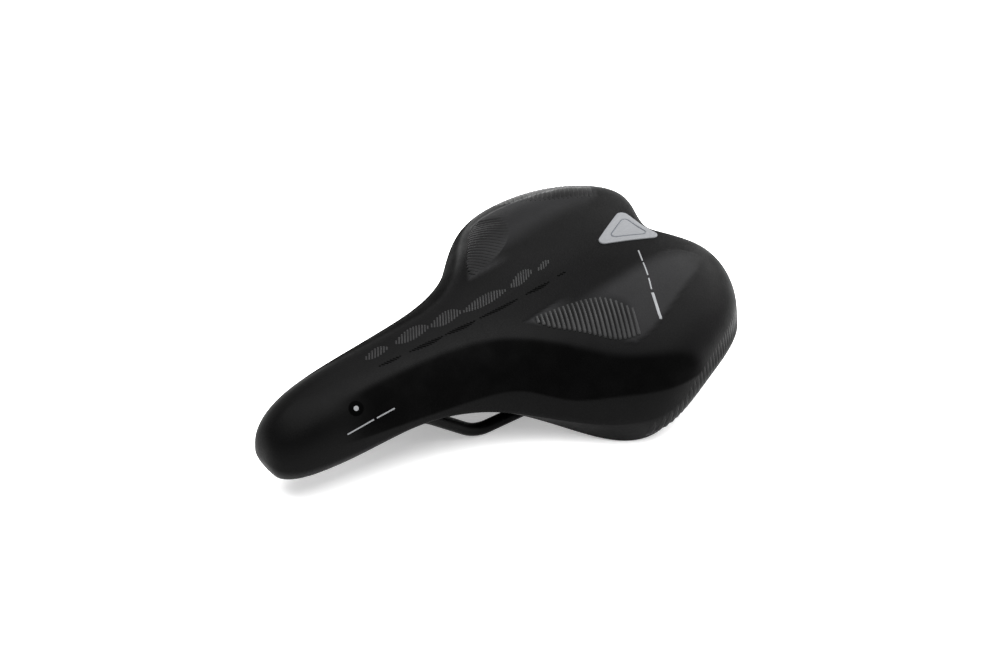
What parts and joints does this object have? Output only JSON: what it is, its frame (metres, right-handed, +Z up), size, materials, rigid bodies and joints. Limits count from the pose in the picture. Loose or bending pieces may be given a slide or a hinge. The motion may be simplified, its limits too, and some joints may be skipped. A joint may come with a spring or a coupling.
{
  "type": "bicycle saddle",
  "caption": "Padded comfort bicycle saddle with two raised sitting lobes, a narrow nose and a round-wire rail underneath for a seatpost clamp.",
  "frame": {"origin": "centre of the seatpost clamp: midway between the two rails, midway along their level run, at the height of the rail axes", "axes": "+X towards the nose, +Y to the rider's left, +Z up"},
  "size_m": [0.2663, 0.1802, 0.0746],
  "materials": {
    "skin": "satin",
    "foam": "matte",
    "soft_foam": "matte",
    "base_plastic": "matte",
    "rail_steel": "satin",
    "sleeve_plastic": "matte",
    "carrier_plastic": "matte",
    "screw_steel": "satin",
    "washer_steel": "satin",
    "insert_brass": "satin",
    "staple_steel": "satin",
    "silver_print": "satin"
  },
  "bodies": {
    "root": {"cover": "skin", "foam_pad": "foam", "memory_foam_left": "soft_foam", "memory_foam_right": "soft_foam", "base_shell": "base_plastic", "rail": "rail_steel", "rail_sleeve_left": "sleeve_plastic", "rail_sleeve_right": "sleeve_plastic", "rear_carrier": "carrier_plastic", "rear_carrier_screws": "screw_steel", "rear_carrier_washers": "washer_steel", "nose_clip": "carrier_plastic", "nose_clip_screws": "screw_steel", "nose_clip_washers": "washer_steel", "threaded_inserts": "insert_brass", "hem_staples": "staple_steel", "tail_badge": "silver_print", "nose_dot": "silver_print", "flank_stripe": "silver_print", "lobe_stripe": "silver_print"}
  },
  "joints": []
}
